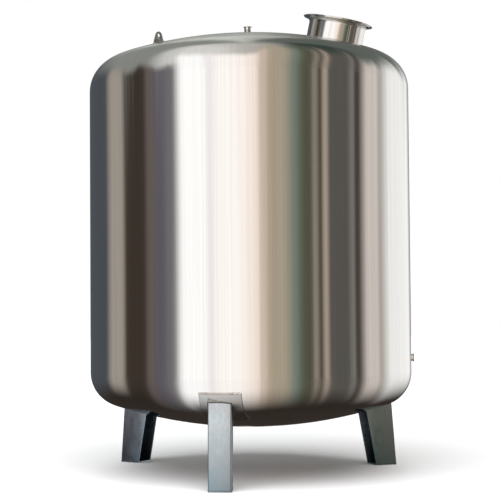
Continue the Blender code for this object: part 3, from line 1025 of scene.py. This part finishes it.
def card_ramp(tree, azimuth, cards):
    """A ramp over the cards' azimuths, with their heights in its alpha."""
    low, high = cards[0][0], cards[-1][1]
    spread = {0: azimuth, 1: math.radians(low), 2: math.radians(high)}
    along = add_node(tree, "ShaderNodeMapRange", spread)
    ramp = add_node(tree, "ShaderNodeValToRGB", {"Fac": along})
    wanted = []
    for start, end, tone, top in cards:
        colour = (*hex_colour(tone)[:3], top / 90)
        wanted += [((edge - low) / (high - low), colour) for edge in (start, end)]
    set_stops(ramp, wanted)
    return ramp.outputs


def card_ring(tree, azimuth, *parts):
    """The tone and the height at an azimuth, from ramps that fade into each other in turn."""
    tone, top = card_ramp(tree, azimuth, parts[0])
    for left, right in zip(parts, parts[1:]):
        gap = {0: azimuth, 1: math.radians(left[-1][1]), 2: math.radians(right[0][0])}
        share = add_node(tree, "ShaderNodeMapRange", gap)
        next_tone, next_top = card_ramp(tree, azimuth, right)
        tones = {0: share, 6: tone, 7: next_tone}
        tone = add_node(tree, "ShaderNodeMix", tones, data_type="RGBA")
        top = add_node(tree, "ShaderNodeMix", {0: share, 2: top, 3: next_top})
    return tone, top


# %% [markdown]
# A rounded head bends what it mirrors. For an eye straight in front of the tank, each direction out
# in the room is mirrored at one place on a head: in one column of it, named by the azimuth that the
# shell mirrors in that column, and where the steel slopes by some angle. Both follow from the
# direction alone. Under the horizon the cards and the ground are laid out by column and slope, so
# their edges run straight down the shell and on over the knuckle.

# %% Columns and slopes
# Each entry: a column's azimuth, the slope at which the ground starts to show, and the slope past
# which only the ground shows. Steep columns in front hold the cards' light the longest.
GROUND_EDGES = (
    (-180, 6, 50),
    (-140, 5, 50),
    (-120, 5, 37),
    (-105, 8, 38),
    (-85, 4, 36),
    (-70, 4, 84),
    (-58, 8, 82),
    (-50, 14, 76),
    (-42, 21, 60),
    (-25, 24, 63),
    (0, 10, 66),
    (20, 8, 61),
    (35, 10, 58),
    (50, 4, 54),
    (70, 14, 49),
    (88, 10, 54),
    (100, 7, 52),
    (115, 5, 58),
    (130, 4, 50),
    (180, 4, 38),
)
# Straight behind the tank the slope would leap, so its measure is kept from vanishing there.
LEAST_MEASURE = 0.06


def column_and_slope(tree, x, y, z):
    """The column's azimuth, and the slope of the steel under the horizon."""
    add = partial(add_node, tree)
    forward = add("ShaderNodeMath", {0: 1.0, 1: y}, operation="SUBTRACT")
    half = add("ShaderNodeMath", {0: x, 1: forward}, operation="ARCTAN2")
    column = add("ShaderNodeMath", {0: half, 1: 2.0}, operation="MULTIPLY")
    double = add("ShaderNodeMath", {0: forward, 1: 2.0}, operation="MULTIPLY")
    least = add("ShaderNodeMath", {0: double, 1: LEAST_MEASURE}, operation="MAXIMUM")
    measure = add("ShaderNodeMath", {0: least}, operation="SQRT")
    rise = add("ShaderNodeMath", {0: z, 1: measure}, operation="DIVIDE")
    up = add("ShaderNodeMath", {0: rise}, operation="ARCSINE")
    slope = add("ShaderNodeMath", {0: up, 1: -1.0}, operation="MULTIPLY")
    return column, slope


def ground_share(tree, column, slope):
    """How much of the dark ground shows at a slope of a column."""
    along = add_node(tree, "ShaderNodeMapRange", {0: column, 1: -math.pi, 2: math.pi})
    ramp = add_node(tree, "ShaderNodeValToRGB", {"Fac": along})
    wanted = [
        ((azimuth + 180) / 360, (math.radians(start), math.radians(full), 0.0, 1.0))
        for azimuth, start, full in GROUND_EDGES
    ]
    set_stops(ramp, wanted)
    start, full, _ = add_node(tree, "ShaderNodeSeparateColor", {0: ramp}).outputs
    fade = {0: slope, 1: start, 2: full}
    return add_node(tree, "ShaderNodeMapRange", fade, interpolation_type="SMOOTHSTEP")


print(len(GROUND_EDGES), "columns of the ground's edge")

# %% [markdown]
# Over the horizon the cards lean in towards the middle of the ring, which keeps their edges
# straight over the upper knuckle as well. Behind the tank they stand upright.

# %% Leaning cards
LEAN = 0.8
LEANING_TO = math.radians(120)
UPRIGHT_FROM = math.radians(175)


def leaning_azimuth(tree, bearing, elevation):
    add = partial(add_node, tree)
    aside = add("ShaderNodeMath", {0: bearing}, operation="ABSOLUTE")
    most = add("ShaderNodeMapRange", {0: aside, 1: LEANING_TO, 2: UPRIGHT_FROM, 3: LEAN, 4: 0.0})
    level = add("ShaderNodeMath", {0: elevation}, operation="COSINE")
    rise = add("ShaderNodeMath", {0: 1.0, 1: level}, operation="SUBTRACT")
    lean = add("ShaderNodeMath", {0: rise, 1: most}, operation="MULTIPLY")
    keep = add("ShaderNodeMath", {0: 1.0, 1: lean}, operation="SUBTRACT")
    return add("ShaderNodeMath", {0: bearing, 1: keep}, operation="MULTIPLY")


print("cards lean in by up to", round(100 * LEAN), "% of their azimuth")

# %% A world made of the cards
# A yard is never one flat tone, so each card is streaked, a degree or so to the streak.
STREAKS_PER_RADIAN = 40.0
STREAK_SHADES = {3: 0.88, 4: 1.08}
# The skyline is ragged, so the cards' tops wander by a few degrees and fade over more.
BUMPS_PER_RADIAN = 22.0
BUMP_HEIGHT = math.radians(4)
SKYLINE_FADE = math.radians(20)
ZENITH_SPAN = {1: math.radians(72), 2: math.radians(89)}


def build_world():
    world = bpy.data.worlds.new("studio")
    bpy.context.scene.world = world
    world.use_nodes = True
    tree = world.node_tree
    tree.nodes.clear()
    add = partial(add_node, tree)
    direction = add("ShaderNodeTexCoord").outputs["Generated"]
    x, y, z = add("ShaderNodeSeparateXYZ", {0: direction}).outputs
    ahead = add("ShaderNodeMath", {0: y, 1: -1.0}, operation="MULTIPLY")
    bearing = add("ShaderNodeMath", {0: x, 1: ahead}, operation="ARCTAN2")
    elevation = add("ShaderNodeMath", {0: z}, operation="ARCSINE")
    column, slope = column_and_slope(tree, x, y, z)
    leaning = leaning_azimuth(tree, bearing, elevation)
    under = add("ShaderNodeMath", {0: z, 1: 0.0}, operation="LESS_THAN")
    azimuth = add("ShaderNodeMix", {0: under, 2: leaning, 3: column})
    tone, top = card_ring(tree, azimuth, LEFT_CARDS, FRONT_CARDS, RIGHT_CARDS)

    along = add("ShaderNodeMath", {0: azimuth, 1: STREAKS_PER_RADIAN}, operation="MULTIPLY")
    noise = {"W": along, "Scale": 1.0, "Detail": 3.0}
    streaks = add("ShaderNodeTexNoise", noise, noise_dimensions="1D")
    shades = add("ShaderNodeMapRange", {0: streaks, **NOISE_SPAN, **STREAK_SHADES})
    streaked = add("ShaderNodeVectorMath", {0: tone, "Scale": shades}, operation="SCALE")

    overcast = card_ramp(tree, azimuth, CEILING)["Color"]
    overhead = two_tones(tree, elevation, overcast, ZENITH, ZENITH_SPAN)
    noise = {"W": azimuth, "Scale": BUMPS_PER_RADIAN, "Detail": 2.0}
    bumps = add("ShaderNodeTexNoise", noise, noise_dimensions="1D")
    ragged = {0: bumps, **NOISE_SPAN, 3: -BUMP_HEIGHT, 4: BUMP_HEIGHT}
    skyline = add("ShaderNodeMapRange", ragged)
    brim = add("ShaderNodeMath", {0: top, 1: math.pi / 2, 2: skyline}, operation="MULTIPLY_ADD")
    past_top = add("ShaderNodeMath", {0: elevation, 1: brim}, operation="SUBTRACT")
    fade = {0: past_top, 2: SKYLINE_FADE}
    climb = add("ShaderNodeMapRange", fade, interpolation_type="SMOOTHSTEP")
    over = add("ShaderNodeMix", {0: climb, 6: streaked, 7: overhead}, data_type="RGBA")
    sunk = ground_share(tree, column, slope)
    room = add("ShaderNodeMix", {0: sunk, 6: over, 7: hex_colour(GROUND)}, data_type="RGBA")
    lit = add("ShaderNodeBackground", {"Color": room, "Strength": CARD_LIGHT})
    plain = add("ShaderNodeBackground", {"Color": hex_colour(BACKDROP)})
    seen = add("ShaderNodeLightPath").outputs["Is Camera Ray"]
    both = add("ShaderNodeMixShader", {0: seen, 1: lit, 2: plain})
    add("ShaderNodeOutputWorld", {"Surface": both})
    return len(tree.nodes)


print("the ring has", build_world(), "nodes")

# %% [markdown]
# The floor is a plain pale paint. A wide, weak sun lights it evenly out to its far edge, so that it
# runs into the backdrop without a line. Neither shows in the metal: what the metal mirrors is the
# ring alone.

# %% Floor
FLOOR_REACH = 40.0
floor_mesh = bpy.data.meshes.new("floor")
corners = [(x * FLOOR_REACH, y * FLOOR_REACH, 0) for x, y in ((-1, -1), (1, -1), (1, 1), (-1, 1))]
floor_mesh.from_pydata(corners, [], [(0, 1, 2, 3)])
floor = add_object("floor", floor_mesh)
floor.visible_glossy = False
paint = bpy.data.materials.new("pale_floor_paint")
paint.use_nodes = True
flat_paint = {"Base Color": hex_colour("f5f6f9"), "Roughness": 1.0}
wire(paint.node_tree, paint.node_tree.nodes["Principled BSDF"], flat_paint)
floor_mesh.materials.append(paint)
print("floor", FLOOR_REACH * 2, "m square")

# %% The lamp over the floor
lamp_data = bpy.data.lights.new("overhead_sun", "SUN")
lamp_data.angle = math.radians(70)
lamp_data.energy = 3.2
lamp = add_object("overhead_sun", lamp_data)
lamp.visible_glossy = False
lamp.rotation_euler = (math.radians(30), 0.0, 0.0)
print("sun", round(math.degrees(lamp_data.angle)), "degrees wide")

# %% [markdown]
# ## Camera
# The camera stands about nine tank radii away, 1.27 m over the ground, and is tilted up a little.
# It is turned a little to the left, so that the tank lies right of its axis, and the shift brings
# the tank back into the middle of the frame.

# %% Camera
EYE = (0.0, -10.44, 1.27)
TURN_LEFT = 0.045
TILT_UP = math.radians(90.0 + 2.17)
ROLL = -0.006
camera_data = bpy.data.cameras.new("camera")
camera_data.sensor_width = 36.0
camera_data.lens = 99.36
camera_data.shift_x = 0.1256
camera = add_object("camera", camera_data)
aim = Matrix.Rotation(TURN_LEFT, 4, "Z") @ Matrix.Rotation(TILT_UP, 4, "X")
camera.matrix_world = Matrix.Translation(EYE) @ aim @ Matrix.Rotation(ROLL, 4, "Z")
bpy.context.scene.camera = camera
bpy.context.scene.view_settings.view_transform = "Standard"
print("camera at", EYE)
